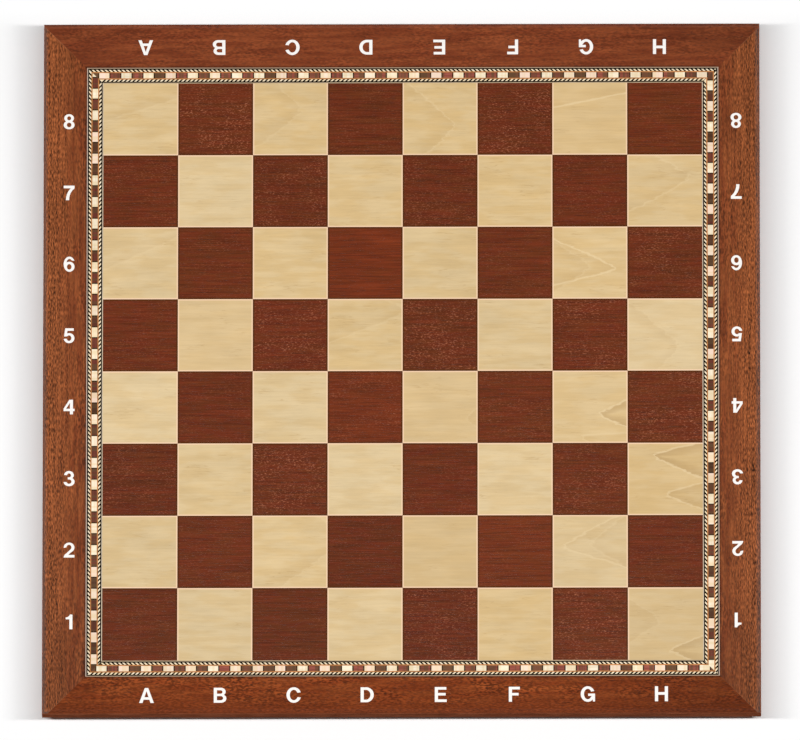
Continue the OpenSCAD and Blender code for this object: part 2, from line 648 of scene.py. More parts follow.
@dataclass(frozen=True)
class LightSquare(SquareVeneer):
    """The light squares' pale veneer, of which some show the rings of a flat-cut log.

    The honey squares are the few that look more yellow than the rest. No two rings of one group are on the
    same square.
    """

    ridge: Colour = screen(240, 215, 170)
    ring: Colour = screen(180, 146, 96)
    honey: Colour = screen(212, 178, 124)
    honey_squares: tuple[tuple[int, int], ...] = ((4, 3), (1, 4), (6, 7), (4, 1))
    honey_share: float = 0.5
    blunt: float = 5.5
    wander: float = 13.0
    rings: tuple[tuple[Ring, ...], ...] = (
        (
            Ring(6, 5, 41.8, 21.2, 2.9, -0.1, 0.9),
            Ring(6, 7, 62.0, 47.0, 3.5, -0.08, 0.8),
            Ring(7, 2, 17.4, 41.0, -3.0, -0.09, 1.0, 1.0),
            Ring(6, 3, 32.0, 19.7, -2.4, 0.03, 1.0, 0.9),
            Ring(7, 0, 29.2, 6.6, -2.6, 0.0, 0.9, 0.8),
            Ring(6, 1, 8.0, 28.5, -2.4, 0.12, 0.8),
            Ring(4, 7, 33.9, 20.1, 1.2),
            Ring(7, 6, 40.3, 34.4, 1.8),
            Ring(7, 4, 33.5, 16.2, 1.2, 0.0, 0.4),
            Ring(4, 3, 43.0, 17.5, -1.6, 0.0, 0.35),
            Ring(0, 7, 60.0, 44.0, 3.2, 0.0, 0.35),
            Ring(0, 5, 52.0, 46.0, 2.2, 0.0, 0.35),
            Ring(2, 7, 31.0, 31.0, 1.2, -0.1, 0.35),
            Ring(3, 4, 52.0, 42.0, 2.5, 0.0, 0.35),
            Ring(2, 1, 60.0, 34.0, 1.4, 0.0, 0.35),
        ),
        (
            Ring(7, 2, 25.8, 14.4, -3.2, -0.05, 0.8, 0.6),
            Ring(6, 1, 27.0, 30.0, -1.5, 0.1, 0.4),
            Ring(6, 3, 20.0, 4.0, -3.0, -0.3, 0.5),
            Ring(6, 5, 24.0, 22.0, 1.6, 0.0, 0.3),
            Ring(7, 0, 20.0, 27.0, 1.6, 0.0, 0.3),
        ),
    )

    def bend(self, at: OnSquare, rings: Iterable[Ring]) -> tuple[Socket, Socket]:
        """Rings of which no two are on one square.

        Args:
            at: The shaded point.
            rings: The rings.

        Returns:
            Where their lines are, and where the wood inside their bends is darker.
        """
        picked: list[Value] = [0.0] * 6
        for ring in rings:
            file, rank, *values = astuple(ring)
            here = at.on(file, rank)
            picked = [here * value + rest for value, rest in zip(values, picked)]
        x, y, arms, tilt, share, shade = picked
        wander = (at.noise((9.0, 3.4), 15.0, 4.0, 0.65) - 0.5) * self.wander
        along = at.x + self.half_field - at.file * self.square - x + wander
        across = at.y + self.half_field - at.rank * self.square - y - along * tilt
        root = ((across * arms) ** 2.0 + self.blunt**2) ** 0.5
        slope = ((across * arms * arms / root) ** 2.0 + 1.0) ** 0.5
        off = (along * (arms.step(-0.1, 0.1) * 2.0 - 1.0) + root - self.blunt) / slope
        line = (1.0 - abs(off).step(0.2, 1.0)) * share
        inside = off.step(-10.0, -0.5) * (1.0 - off.step(-0.5, 0.8)) * shade
        return line, inside

    def veins(self, at: OnSquare) -> Socket:
        """Where a few thin lines of grain are.

        Args:
            at: The shaded point.

        Returns:
            1 on a line, and 0 elsewhere.
        """
        vein = at.noise((34.0, 2.4), 33.0)
        patch = at.noise((22.0, 12.0), 37.0, 1.0)
        return (1.0 - abs(vein - 0.5).step(0.0, 0.02)) * patch.step(0.5, 0.66)

    def detail(self, at: OnSquare, colour: Socket) -> Socket:
        """Honey-coloured wood to the right and on a few squares, the rings, and a few thin lines of grain.

        Args:
            at: The shaded point.
            colour: Its colour so far.

        Returns:
            Its colour.
        """
        share = sum(at.on(file, rank) * self.honey_share for file, rank in self.honey_squares)
        colour = colour.mix(at.tree.shade(self.honey, self.light(at)), share)
        colour = colour.mix(self.honey, at.file.step(4.0, 8.5) * (4.5 - at.rank * 0.5).step(0.0, 4.0) * 0.4)
        for rings in self.rings:
            line, inside = self.bend(at, rings)
            colour = colour.mix(self.ring, inside * 0.5).mix(self.ridge, line * 0.55)
        return super().detail(at, colour.mix(self.ring, self.veins(at) * 0.35))


@dataclass(frozen=True)
class FrameVeneer(Wood):
    """The frame's red-brown veneer, mitred at the corners. Its plain values are those of the front and back.

    The rim is other wood, which shows in the veneer's outer half, from rim_from outside the inner edge on.
    """

    streak: tuple[float, float] = (70.0, 2.0)
    streak_share: float = 0.26
    cloud: tuple[float, float] = (40.0, 6.0)
    cloud_share: float = 0.12
    fleck: tuple[float, float] = (2.4, 0.9)
    pore: tuple[float, float] = (3.0, 1.0)
    pore_share: float = 0.25
    inner: float = 211.0
    outer: float = 239.2
    rim: Colour = screen(119, 53, 22)
    glue: Colour = screen(168, 112, 80)
    # painted grey shade and reflection on the rounded arris
    worn: Colour = screen(90, 74, 68)
    rim_share: float = 1.0
    rim_from: float = 14.0
    rim_fleck: tuple[float, float] = (2.6, 0.62)
    rim_fleck_share: float = 0.75
    rim_line: tuple[float, float] = (45.0, 0.9)
    rim_line_share: float = 0.0
    # how much of the painted arris shade and reflection there is, and how wide it is
    worn_share: float = 0.0
    worn_width: float = 3.0
    # painted shade: how much darker the veneer is made towards the board's right, left, front and back
    right_shade: float = 0.3
    right_inner: float = 1.0
    left_shade: float = 0.15
    front_shade: float = 0.12
    front_from: float = -170.0
    back_shade: float = 0.0

    def to_edge(self, at: Where) -> Socket:
        """How far out from the middle of the board each place is."""
        return abs(at.x + self.centre[0]).most(abs(at.y + self.centre[1]))

    def dullness(self, at: Where) -> Value:
        """The arris, where the lacquer is rubbed dull."""
        return self.to_edge(at).step(self.outer - 3.5, self.outer - 1.8) * 0.55

    def rim_light(self, at: Where) -> Socket:
        """How light the rim's wood is, with its flecks and, where it has them, its lines.

        Args:
            at: The shaded point.

        Returns:
            The light, 1 on average.
        """
        flecks = (at.noise(self.rim_fleck, 41.0, 1.0).step(0.38, 0.68) - 0.45) * self.rim_fleck_share
        if self.rim_line_share:
            flecks = flecks + (at.noise(self.rim_line, 51.0).step(0.4, 0.64) - 0.5) * self.rim_line_share
        return self.light(at) + flecks

    def darkened(self, at: Where, reach: Socket, colour: Socket) -> Socket:
        """Painted shade that makes the wood darker towards the board's right, left, front and back.

        Args:
            at: The shaded point.
            reach: How far out from the field's middle it is.
            colour: Its colour so far.

        Returns:
            Its colour.
        """
        # painted shade: where the wood is made darker on each side
        right = at.x.step(90.0, self.outer) * (reach.step(self.inner, self.outer - 9) * (1 - self.right_inner)
                                               + self.right_inner)
        left = (at.x * -1.0).step(170.0, self.outer)
        front = 1.0 - at.y.step(-self.outer, self.front_from)
        back = at.y.step(60.0, 200.0) * reach.step(220.0, 232.0)
        for where, share in ((right, self.right_shade), (left, self.left_shade), (front, self.front_shade),
                             (back, self.back_shade)):
            colour = colour.darken(where * share)
        return colour

    def detail(self, at: Where, colour: Socket) -> Socket:
        """The rim, a dark inner edge, the mitres' glue lines, painted shade to the sides, and painted shade and
        reflection on the arris.

        Args:
            at: The shaded point.
            colour: Its colour so far.

        Returns:
            Its colour.
        """
        reach = at.reach()
        wander = at.noise((60.0, 8.0), 31.0) * 12
        outer_half = (reach + wander).step(self.inner + self.rim_from, self.outer + 2)
        colour = colour.mix(at.tree.shade(self.rim, self.rim_light(at)), outer_half * self.rim_share)
        inner_edge = 1.0 - reach.step(self.inner + 0.6, self.inner + 1.5)
        colour = colour.darken(inner_edge * 0.4)
        mitre = 1.0 - abs(abs(at.x) - abs(at.y)).step(0.1, 0.5)
        colour = colour.mix(self.glue, mitre * reach.step(216.0, 232.0) * 0.4)
        # painted shade towards the sides, then painted grey shade and reflection on the rounded arris
        worn = self.to_edge(at).step(self.outer - self.worn_width, self.outer)
        return self.darkened(at, reach, colour).mix(self.worn, worn * self.worn_share)


@dataclass(frozen=True)
class Lipping(Wood):
    """Solid wood of the edge, with painted shade towards its top."""

    def detail(self, at: Where, colour: Socket) -> Socket:
        """Painted shade that makes the wood darker towards the top."""
        # painted shade, darker towards the top of the edge
        return colour.darken(at.z.step(11.0, 14.4) * 0.1)


@dataclass(frozen=True)
class BookMatched(Wood):
    """Veneer whose two leaves mirror each other about their joint."""

    def where(self, tree: Shader) -> Where:
        """The shaded point, with its place across the grain counted from the joint."""
        x, y, z = tree.place()
        return Where(tree, self.seed, x, y, z, y, abs(x) + z * self.lean)


@dataclass(frozen=True)
class InlayStrip(Wood):
    """A strip of the banding, whose blocks each have a tone of their own."""

    side: Side = Side.FRONT
    pitch: float = 15.0
    first: float = 0.0
    other: Colour = screen(250, 210, 165)
    other_share: float = 1.0
    bar: Colour = screen(250, 210, 165)
    bar_share: float = 0.0
    tone_share: float = 0.08

    def detail(self, at: Where, colour: Socket) -> Socket:
        """Each block's own tone and hue, and the bars of the thin leaves that it is glued up from.

        Args:
            at: The shaded point.
            colour: Its colour so far.

        Returns:
            Its colour.
        """
        along = at.x if self.side.runs_across else at.y
        if self.side in (Side.BACK, Side.LEFT):
            along = along * -1.0
        number = ((along - self.first) * (1 / self.pitch)).floor()
        tone = 1.0 + (at.tree.chance(number, self.side.value, self.seed + 6.1) - 0.5) * (2 * self.tone_share)
        share = at.tree.chance(number, self.side.value, self.seed + 6.7).step(0.3, 0.9) * self.other_share
        bars = at.tree.noise(along, number, (2.2, 0.13), self.seed + self.side.value + 7.9, 1.0).step(0.44, 0.58)
        return colour.mix(self.other, share).mix(self.bar, bars * self.bar_share).shade(tone)


@dataclass(frozen=True)
class WhiteLine(InlayStrip):
    """The two white lines, of which the outer one has a white of its own."""

    outer: Colour = screen(196, 176, 160)

    def detail(self, at: Where, colour: Socket) -> Socket:
        """The outer line's white."""
        reach = at.reach()
        return super().detail(at, colour).mix(self.outer, reach.step(204.0, 206.0))


@dataclass(frozen=True)
class Fibreboard:
    """Pressed wood fibre, for the core inside the board."""

    name: str = "core fibreboard"
    low: Colour = screen(150, 116, 78)
    high: Colour = screen(186, 152, 108)

    def material(self) -> bpy.types.Material:
        """Builds the finish: short fibres that lie every way.

        Returns:
            The finished material.
        """
        tree = Shader(self.name)
        x, y, z = tree.place()
        fibres = tree.noise(x + z * 2.0, y + z, (1.2, 0.5), 1.0, 3.0, 0.7)
        crossing = tree.noise(y - z, x + z, (1.2, 0.5), 2.0, 3.0, 0.7)
        share = (fibres + crossing) * 0.5
        return tree.finish(tree.mix(self.low, self.high, share.step(0.35, 0.65)), 0.85, share, 0.1)


@dataclass(frozen=True)
class Felt:
    """Wool felt of the pads."""

    name: str = "green felt"
    low: Colour = screen(26, 44, 34)
    high: Colour = screen(52, 74, 58)

    def material(self) -> bpy.types.Material:
        """Builds the finish: matted fibres with a soft sheen.

        Returns:
            The finished material.
        """
        tree = Shader(self.name)
        x, y, z = tree.place()
        mat = tree.noise(x + z * 3.0, y + z * 2.0, (0.7, 0.7), 4.0, 4.0, 0.75)
        fibres = tree.noise(x + y, x - y + z, (0.9, 0.18), 5.0, 2.0, 0.6)
        share = mat * 0.6 + fibres * 0.4
        colour = tree.mix(self.low, self.high, share.step(0.38, 0.62))
        return tree.finish(colour, 0.95, share, 0.2, 0.4)


@dataclass(frozen=True)
class Ink:
    """White screen ink of the letters and numbers."""

    name: str = "white ink"
    thin: Colour = screen(240, 232, 222)
    full: Colour = screen(253, 250, 246)

    def material(self) -> bpy.types.Material:
        """Builds the finish: flat white that the mesh of the screen has laid a little unevenly.

        Returns:
            The finished material.
        """
        tree = Shader(self.name)
        x, y, _ = tree.place()
        cover = tree.noise(x, y, (1.6, 1.6), 8.0, 3.0, 0.6)
        colour = tree.mix(self.thin, self.full, cover.step(0.25, 0.5))
        return tree.finish(colour, 0.5 + cover * 0.1, cover, 0.01)


@dataclass(frozen=True)
class Arc:
    """A part of an ellipse in a glyph's outline. Lengths are in capital heights, angles in degrees."""

    x: float
    y: float
    across: float
    up: float
    start: float
    end: float

    def points(self) -> list[tuple[float, float]]:
        """Points along the arc, from its start to its end.

        Returns:
            Each point's x and y.
        """
        steps = max(3, round(abs(self.end - self.start) / ARC_STEP))
        angles = [math.radians(self.start + (self.end - self.start) * k / steps) for k in range(steps + 1)]
        return [(self.x + self.across * math.cos(a), self.y + self.up * math.sin(a)) for a in angles]


Outline = tuple[Union[Arc, tuple[float, float]], ...]

GLYPHS: dict[str, tuple[Outline, ...]] = {
    "A": (
        ((0, 0), (0.365, 1), (0.585, 1), (0.95, 0), (0.735, 0), (0.662, 0.22), (0.288, 0.22), (0.215, 0)),
        ((0.342, 0.385), (0.475, 0.79), (0.608, 0.385)),
    ),
    "B": (
        ((0, 0), (0, 1), Arc(0.46, 0.735, 0.31, 0.265, 90, -52), Arc(0.47, 0.285, 0.345, 0.285, 57, -90)),
        ((0.205, 0.6), (0.205, 0.835), Arc(0.44, 0.7175, 0.125, 0.1175, 90, -90)),
        ((0.205, 0.165), (0.205, 0.445), Arc(0.455, 0.305, 0.15, 0.14, 90, -90)),
    ),
    "C": ((Arc(0.475, 0.5, 0.475, 0.52, 21, 341), Arc(0.475, 0.5, 0.26, 0.35, 336, 25)),),
    "D": (
        ((0, 0), (0, 1), Arc(0.365, 0.5, 0.485, 0.5, 90, -90)),
        ((0.205, 0.17), (0.205, 0.83), Arc(0.345, 0.5, 0.29, 0.33, 90, -90)),
    ),
    "E": (
        ((0, 0), (0, 1), (0.745, 1), (0.745, 0.825), (0.205, 0.825), (0.205, 0.605), (0.7, 0.605), (0.7, 0.435),
         (0.205, 0.435), (0.205, 0.175), (0.77, 0.175), (0.77, 0)),
    ),
    "F": (
        ((0, 0), (0, 1), (0.71, 1), (0.71, 0.825), (0.205, 0.825), (0.205, 0.59), (0.63, 0.59), (0.63, 0.42),
         (0.205, 0.42), (0.205, 0)),
    ),
    "G": (
        (Arc(0.455, 0.5, 0.455, 0.52, 23, 308), (0.78, 0.14), (0.795, 0), (0.925, 0), (0.925, 0.53), (0.48, 0.53),
         (0.48, 0.375), (0.715, 0.375), Arc(0.455, 0.5, 0.245, 0.35, 322, 27)),
    ),
    "H": (
        ((0, 0), (0, 1), (0.205, 1), (0.205, 0.61), (0.635, 0.61), (0.635, 1), (0.84, 1), (0.84, 0), (0.635, 0),
         (0.635, 0.435), (0.205, 0.435), (0.205, 0)),
    ),
    "1": (((0.245, 0), (0.245, 0.68), (0, 0.68), (0, 0.805), Arc(0.0, 1.1, 0.3, 0.295, -90, -18), (0.445, 1),
           (0.445, 0)),),
    "2": (
        ((0, 0), Arc(0.5, 0.0, 0.5, 0.37, 176, 130), Arc(0.35, 0.69, 0.165, 0.18, -52, 178), (0.01, 0.655),
         Arc(0.36, 0.685, 0.355, 0.335, 182, -48), (0.42, 0.3), (0.3, 0.175), (0.715, 0.175), (0.715, 0)),
    ),
    "3": (
        (Arc(0.35, 0.735, 0.32, 0.285, 178, -62), Arc(0.355, 0.285, 0.365, 0.305, 52, -176),
         Arc(0.35, 0.29, 0.165, 0.15, -170, 90), (0.27, 0.44), (0.27, 0.585), Arc(0.35, 0.72, 0.13, 0.135, -90, 176)),
    ),
    "4": (
        ((0.42, 0), (0.42, 0.22), (0, 0.22), (0, 0.385), (0.38, 1), (0.62, 1), (0.62, 0.38), (0.725, 0.38),
         (0.725, 0.22), (0.62, 0.22), (0.62, 0)),
        ((0.165, 0.38), (0.42, 0.38), (0.42, 0.79)),
    ),
    "5": (
        ((0.105, 1), (0.665, 1), (0.665, 0.83), (0.255, 0.83), (0.228, 0.655),
         Arc(0.36, 0.325, 0.355, 0.345, 107, -172), Arc(0.355, 0.325, 0.16, 0.19, -168, 140), (0.03, 0.435)),
    ),
    "6": (
        (Arc(0.375, 0.5, 0.375, 0.52, 27, 270), Arc(0.37, 0.325, 0.35, 0.345, -90, 116),
         Arc(0.385, 0.6, 0.19, 0.26, 182, 37)),
        (Arc(0.37, 0.32, 0.15, 0.19, 0, 345),),
    ),
    "7": (
        ((0, 1), (0.715, 1), (0.715, 0.85), Arc(1.0, 0.03, 0.64, 0.86, 118, 182), (0.145, 0),
         Arc(1.0, 0.03, 0.85, 1.0, 178, 128), (0, 0.825)),
    ),
    "8": (
        (Arc(0.36, 0.74, 0.32, 0.28, -48, 228), Arc(0.36, 0.275, 0.36, 0.295, 128, 412)),
        (Arc(0.36, 0.735, 0.13, 0.14, 0, 345),),
        (Arc(0.36, 0.28, 0.155, 0.16, 0, 345),),
    ),
}


def dress(names: Iterable[str], material: bpy.types.Material, nodes: dict[str, bpy.types.Object]) -> None:
    """Gives CAD nodes their finish.

    Args:
        names: The nodes' names.
        material: The finish.
        nodes: The frame's nodes.
    """
    for name in names:
        nodes[name].data.materials.clear()
        nodes[name].data.materials.append(material)
        LOG.info("%s in %s", name, material.name)


def link(name: str, mesh: bpy.types.Mesh) -> bpy.types.Object:
    """Puts a mesh in the scene.

    Args:
        name: The name of its object.
        mesh: The mesh.

    Returns:
        Its object, at the origin.
    """
    piece = bpy.data.objects.new(name, mesh)
    bpy.context.scene.collection.objects.link(piece)
    return piece


class GeometryTree(NodeTree):
    """A Geometry Nodes tree while it is being built."""

    def __init__(self, name: str, inputs: dict[str, str]) -> None:
        """Starts a tree.

        Args:
            name: The tree's name.
            inputs: The kind of each named input, as in the name of its socket's type.
        """
        super().__init__(bpy.data.node_groups.new(name, "GeometryNodeTree"))
        self.identifiers: dict[str, str] = {}
        for label, kind in inputs.items():
            made = self.group.interface.new_socket(label, in_out="INPUT", socket_type="NodeSocket" + kind)
            self.identifiers[label] = made.identifier
        self.group.interface.new_socket("Geometry", in_out="OUTPUT", socket_type="NodeSocketGeometry")
        self.given = self.group.nodes.new("NodeGroupInput")

    def __getitem__(self, label: str) -> Socket:
        """The socket of a named input."""
        return Socket(self, self.given.outputs[label])

    def end(self, geometry: Socket, material: Socket) -> None:
        """Ends the tree with real meshes in their material.

        Args:
            geometry: What the tree has made.
            material: The material that it gets.
        """
        real = self.add("GeometryNodeRealizeInstances", {}, {0: geometry})
        dressed = self.add("GeometryNodeSetMaterial", {}, {"Geometry": real, "Material": material})
        self.add("NodeGroupOutput", {}, {0: dressed})

    def run(self, name: str, start: bpy.types.Mesh, values: dict[str, Any]) -> bpy.types.Object:
        """Makes a piece with the tree.

        Args:
            name: The piece's name.
            start: The mesh that the tree starts from.
            values: The value of each named input.

        Returns:
            The piece, as a plain mesh at the origin.
        """
        maker = link(name + "_maker", start)
        modifier = maker.modifiers.new("maker", "NODES")
        modifier.node_group = self.group
        for label, value in values.items():
            modifier[self.identifiers[label]] = value
        bpy.context.view_layer.update()
        evaluated = maker.evaluated_get(bpy.context.evaluated_depsgraph_get())
        mesh = bpy.data.meshes.new_from_object(evaluated)
        maker.modifiers.remove(modifier)
        bpy.data.objects.remove(maker)
        mesh.name = name
        return link(name, mesh)


@dataclass
class Panel:
    """What the face is glued to: the core, its lippings and the two leaves on the back."""

    nodes: dict[str, bpy.types.Object]

    def dress(self) -> None:
        """Gives the panel's nodes their finishes."""
        dress(["core_panel"], Fibreboard().material(), self.nodes)
        for across in (True, False):
            wood = Lipping(
                "edge lipping " + ("across" if across else "up"),
                screen(124, 67, 44),
                screen(140, 78, 52),
                Grain.ACROSS if across else Grain.UP,
                fleck_share=0.1,
                pore_share=0.2,
                rough=0.6,
                specular=0.0,
                seed=40.0 + across,
            )
            sides = [side for side in Side if side.runs_across is across]
            dress(["lipping_" + side.word for side in sides], wood.material(), self.nodes)
        leaf = BookMatched("back veneer", screen(104, 52, 34), screen(126, 66, 44), Grain.UP, fleck_share=0.15,
                           pore_share=0.2, seed=60.0)
        dress(["back_veneer_left", "back_veneer_right"], leaf.material(), self.nodes)


@dataclass
class Field:
    """The 64 squares."""

    nodes: dict[str, bpy.types.Object]

    def wood(self, tone: Tone) -> SquareVeneer:
        """The veneer of one colour of squares.

        Args:
            tone: The colour.

        Returns:
            Its wood.
        """
        if tone is Tone.DARK:
            return DarkSquare(
                "dark square veneer",
                screen(102, 48, 21),
                screen(108, 44, 22),
                streak=(28.0, 0.9),
                streak_share=0.78,
                cloud_share=0.1,
                fleck=(1.4, 0.48),
                pore=(6.0, 0.6),
                pore_share=0.2,
                tone_share=0.06,
                seed=10.0,
            )
        return LightSquare(
            "light square veneer",
            screen(217, 185, 131),
            screen(228, 205, 163),
            streak=(26.0, 1.3),
            streak_share=0.11,
            cloud=(30.0, 11.0),
            cloud_share=0.12,
            hue_share=0.65,
            tone_share=0.035,
            glue=screen(252, 214, 180),
            glue_width=1.1,
            pore_share=0.03,
            seed=20.0,
        )

    def dress(self) -> None:
        """Gives the squares their veneers."""
        for tone in Tone:
            names = [f"{tone.name.lower()}_squares_rank_{rank}" for rank in RANKS]
            dress(names, self.wood(tone).material(), self.nodes)


@dataclass
class Banding:
    """The inlaid lines, ropes and blocks around the field. Lengths are in millimetres."""

    nodes: dict[str, bpy.types.Object]
    half_row: float = 207.35
    light_count: tuple[int, ...] = (28, 29, 28, 27)
    first_light: tuple[float, ...] = (7.0, 3.8, 7.3, 14.3)
    last_light: tuple[float, ...] = (6.3, 9.3, 7.8, 8.4)

    def strip(self, name: str, low: Colour, high: Colour, side: Side, kind: type = InlayStrip, **rest: Any) -> Wood:
        """The wood of one strip.

        Args:
            name: What the strip is.
            low: Its darker colour.
            high: Its paler colour.
            side: The side that it is on.
            kind: The class of its finish.
            rest: What else sets the wood apart.

        Returns:
            The wood.
        """
        grain = Grain.ACROSS if side.runs_across else Grain.UP
        return kind(f"{name} {side.word}", low, high, grain, side=side, streak=(20.0, 0.4), cloud=(9.0, 1.5), **rest)

    def dress(self) -> None:
        """Gives each strip on each side its wood."""
        plain = {"other_share": 0.0, "tone_share": 0.03, "pitch": 9.0}
        for side in Side:
            first, last = self.first_light[side.value], self.last_light[side.value]
            pitch = (2 * self.half_row - first - last) / (self.light_count[side.value] - 1)
            middle = first - self.half_row
            light = {"pitch": pitch, "first": middle - pitch / 2}
            brown = {"pitch": pitch, "first": middle}
            if side.runs_across:
                white, outer = (screen(176, 154, 124), screen(192, 170, 140)), screen(172, 148, 124)
                browns, other = (screen(136, 70, 56), screen(156, 84, 70)), screen(112, 74, 52)
            else:
                white, outer = (screen(196, 178, 154), screen(212, 196, 172)), screen(196, 176, 160)
                browns, other = (screen(104, 50, 40), screen(116, 60, 46)), screen(84, 54, 38)
            woods = {
                "white_lines": self.strip("white line", *white, side, WhiteLine, outer=outer, **plain),
                "black_lines": self.strip("black line", screen(16, 11, 5), screen(30, 22, 12), side, specular=0.1,
                                          **plain),
                "orange_lines": self.strip("orange line", screen(166, 108, 56), screen(206, 136, 80), side, **plain),
                "rope_black": self.strip("black rope", screen(12, 8, 4), screen(30, 22, 12), side, specular=0.1,
                                         **plain),
                "rope_cream": self.strip("cream rope", screen(248, 224, 182), screen(254, 236, 206), side, **plain),
                "blocks_light": self.strip("light block", screen(248, 228, 194), screen(254, 240, 214), side,
                                           other=screen(252, 222, 200), bar=screen(236, 210, 160), bar_share=0.5,
                                           **light),
                "blocks_brown": self.strip("brown block", *browns, side, other=other, bar=screen(96, 72, 48),
                                           bar_share=0.7, tone_share=0.15, **brown),
                "block_spacers": self.strip("spacer", screen(44, 28, 8), screen(66, 44, 16), side, **plain),
            }
            for node, wood in woods.items():
                dress([f"{node}_{side.word}"], wood.material(), self.nodes)


@dataclass
class Frame:
    """The mitred frame, and the letters and numbers on it. Lengths are in millimetres."""

    nodes: dict[str, bpy.types.Object]
    capital: float = 10.3
    ink: float = 0.04
    number: float = 10.1

    def veneer(self, side: Side) -> FrameVeneer:
        """The veneer of one side of the frame.

        Args:
            side: The side.

        Returns:
            Its wood.
        """
        # painted shade: the shade shares darken the veneer towards the sides, and the arris shares paint grey shade
        # and reflection on its rounded edge
        own: dict[str, Any] = {
            Side.FRONT: {"low": screen(124, 55, 23), "high": screen(138, 67, 30), "fleck_share": 0.45,
                         "rim_share": 0.8, "specular": 0.15},
            Side.RIGHT: {"rim_from": 5.0, "worn_share": 0.6, "worn_width": 3.6, "back_shade": 0.14},
            Side.BACK: {"low": screen(120, 56, 30), "high": screen(136, 68, 37), "fleck_share": 0.2,
                        "rim_share": 0.0, "right_inner": 0.25},
            Side.LEFT: {"rim_from": 9.0, "worn_share": 0.85},
        }[side]
        if not side.runs_across:
            own |= {"low": screen(119, 58, 30), "high": screen(138, 74, 39), "grain": Grain.UP, "streak": (50.0, 1.5),
                    "streak_share": 0.5, "cloud_share": 0.2, "fleck": (3.0, 0.9), "fleck_share": 0.34,
                    "pore": (3.0, 0.8), "rim": screen(146, 81, 44), "rim_share": 0.9, "rim_fleck": (2.8, 0.5),
                    "rim_fleck_share": 1.35, "rim_line_share": 0.45, "right_shade": 0.0, "left_shade": 0.0,
                    "front_shade": 0.25, "front_from": -110.0}
        return FrameVeneer("frame veneer " + side.word, seed=30.0 + side.value, **own)

    def glyph(self, sign: str, order: int) -> bpy.types.Object:
        """A letter or number as a thin closed solid about its own middle.

        Args:
            sign: The letter or number.
            order: Its place in its row.

        Returns:
            An object that is in no scene.
        """
        rings = []
        for outline in GLYPHS[sign]:
            ring: list[tuple[float, float]] = []
            for part in outline:
                ring.extend(part.points() if isinstance(part, Arc) else [part])
            rings.append(ring)
        width = max(x for x, _ in rings[0]) + min(x for x, _ in rings[0])
        scale = (self.number if sign in RANKS else self.capital) * MM
        flat = [[Vector(((x - width / 2) * scale, (y - 0.5) * scale, 0.0)) for x, y in ring] for ring in rings]
        builder = bmesh.new()
        levels = []
        for height in (0.0, self.ink * MM):
            levels.append([[builder.verts.new(point + Vector((0, 0, height))) for point in ring] for ring in flat])
        for level in levels:
            corners = [corner for ring in level for corner in ring]
            for triangle in tessellate_polygon(flat):
                builder.faces.new([corners[index] for index in triangle])
        for low, high in zip(*levels):
            for index in range(len(low)):
                builder.faces.new([low[index - 1], low[index], high[index], high[index - 1]])
        bmesh.ops.recalc_face_normals(builder, faces=builder.faces)
        mesh = bpy.data.meshes.new(f"glyph_{order}")
        builder.to_mesh(mesh)
        builder.free()
        return bpy.data.objects.new(f"glyph_{order}_{sign}", mesh)

    def row_tree(self) -> GeometryTree:
        """The tree that sets a row of signs on the frame, one a step on from the one before.

        Returns:
            The finished tree.
        """
        kinds = {"Geometry": "Geometry", "Signs": "Collection", "Count": "Int", "First Place": "Vector",
                 "Step": "Vector", "Turn": "Vector", "Ink": "Material"}
        tree = GeometryTree("row of signs", kinds)
        places = tree.add("GeometryNodeMeshLine", {"mode": "OFFSET"},
                          {"Count": tree["Count"], "Start Location": tree["First Place"], "Offset": tree["Step"]})
        signs = tree.add("GeometryNodeCollectionInfo", {"transform_space": "ORIGINAL"},
                         {"Collection": tree["Signs"], "Separate Children": True, "Reset Children": True})
        order = tree.add("GeometryNodeInputIndex")
        row = tree.add("GeometryNodeInstanceOnPoints", {},
                       {"Points": places, "Instance": signs, "Pick Instance": True, "Instance Index": order,
                        "Rotation": tree["Turn"]})
        tree.end(row, tree["Ink"])
        return tree

    def coordinates(self) -> None:
        """Makes the letters and numbers on the four sides."""
        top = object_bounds()[1][2]
        ink = Ink().material()
        tree = self.row_tree()
        rows = {}
        for label, signs in (("letters", FILES), ("numbers", RANKS)):
            rows[label] = bpy.data.collections.new(label)
            for order, sign in enumerate(signs):
                rows[label].objects.link(self.glyph(sign, order))
        ways = {
            Side.FRONT: ("letters", (-170.3, -224.05), (48.93, 0.09), 0.0),
            Side.BACK: ("letters", (-171.9, 225.0), (49.08, 0.02), math.pi),
            Side.LEFT: ("numbers", (-222.0, -173.2), (-0.14, 49.53), 0.0),
            Side.RIGHT: ("numbers", (223.3, -172.6), (-0.08, 49.46), math.pi),
        }
        for side, (label, first, step, turn) in ways.items():
            place = ((first[0] + FIELD_AT[0]) * MM, (first[1] + FIELD_AT[1]) * MM, top)
            values = {"Signs": rows[label], "Count": len(FILES), "Step": (step[0] * MM, step[1] * MM, 0.0),
                      "Turn": (0.0, 0.0, turn), "First Place": place, "Ink": ink}
            name = f"{label}_{side.word}"
            piece = tree.run(name, bpy.data.meshes.new(name), values)
            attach(piece, "root")
            LOG.info("%s: %d faces", name, len(piece.data.polygons))
        for collection in rows.values():
            for sign in list(collection.objects):
                bpy.data.objects.remove(sign)
            bpy.data.collections.remove(collection)

    def dress(self) -> None:
        """Gives the frame its veneers and prints the signs."""
        for side in Side:
            dress(["frame_veneer_" + side.word], self.veneer(side).material(), self.nodes)
        self.coordinates()


